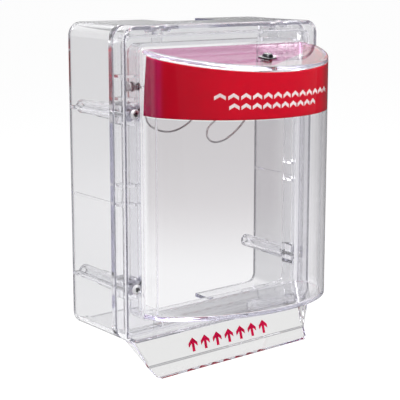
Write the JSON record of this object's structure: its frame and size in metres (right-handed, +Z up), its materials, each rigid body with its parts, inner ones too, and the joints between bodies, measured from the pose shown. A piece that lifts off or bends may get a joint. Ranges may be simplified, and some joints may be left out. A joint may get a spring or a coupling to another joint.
{
  "type": "alarm station cover",
  "caption": "Clear lift-up cover for a wall alarm station: wall spacer, fixed frame, hinged dome with a red band and finger lip, and a thin steel tether cable.",
  "frame": {"origin": "middle of the wall face: half way across the spacer's rear edge, and half way up it", "axes": "+X to the right as the front is looked at, +Z up, +Y into the wall, so the cover's front faces -Y"},
  "size_m": [0.1986, 0.1527, 0.2723],
  "materials": {
    "clear_spacer": "clear polycarbonate, moulded",
    "clear_frame": "clear polycarbonate, moulded",
    "clear_cover": "clear polycarbonate, moulded and polished",
    "red_band": "opaque red film, satin",
    "steel": "zinc-plated steel",
    "crimp": "tinned crimp terminal",
    "cable": "stranded steel wire rope"
  },
  "bodies": {
    "base": {"wall_spacer": "clear_spacer", "mounting_frame": "clear_frame", "frame_screws": "steel", "anchor_screw": "steel", "anchor_terminal": "crimp", "anchor_nut": "steel", "tether_cable": "cable"},
    "cover": {"cover_shell": "clear_cover", "label_band": "red_band", "top_screw": "steel", "square_washer": "steel", "cover_terminal": "crimp", "top_nut": "steel"}
  },
  "joints": [
    {"name": "cover_hinge", "type": "hinge", "parent": "base", "child": "cover", "pos_m": [0, -0.0642, 0.1193], "axis": [-1, 0, 0], "range_deg": [0, 95]}
  ]
}
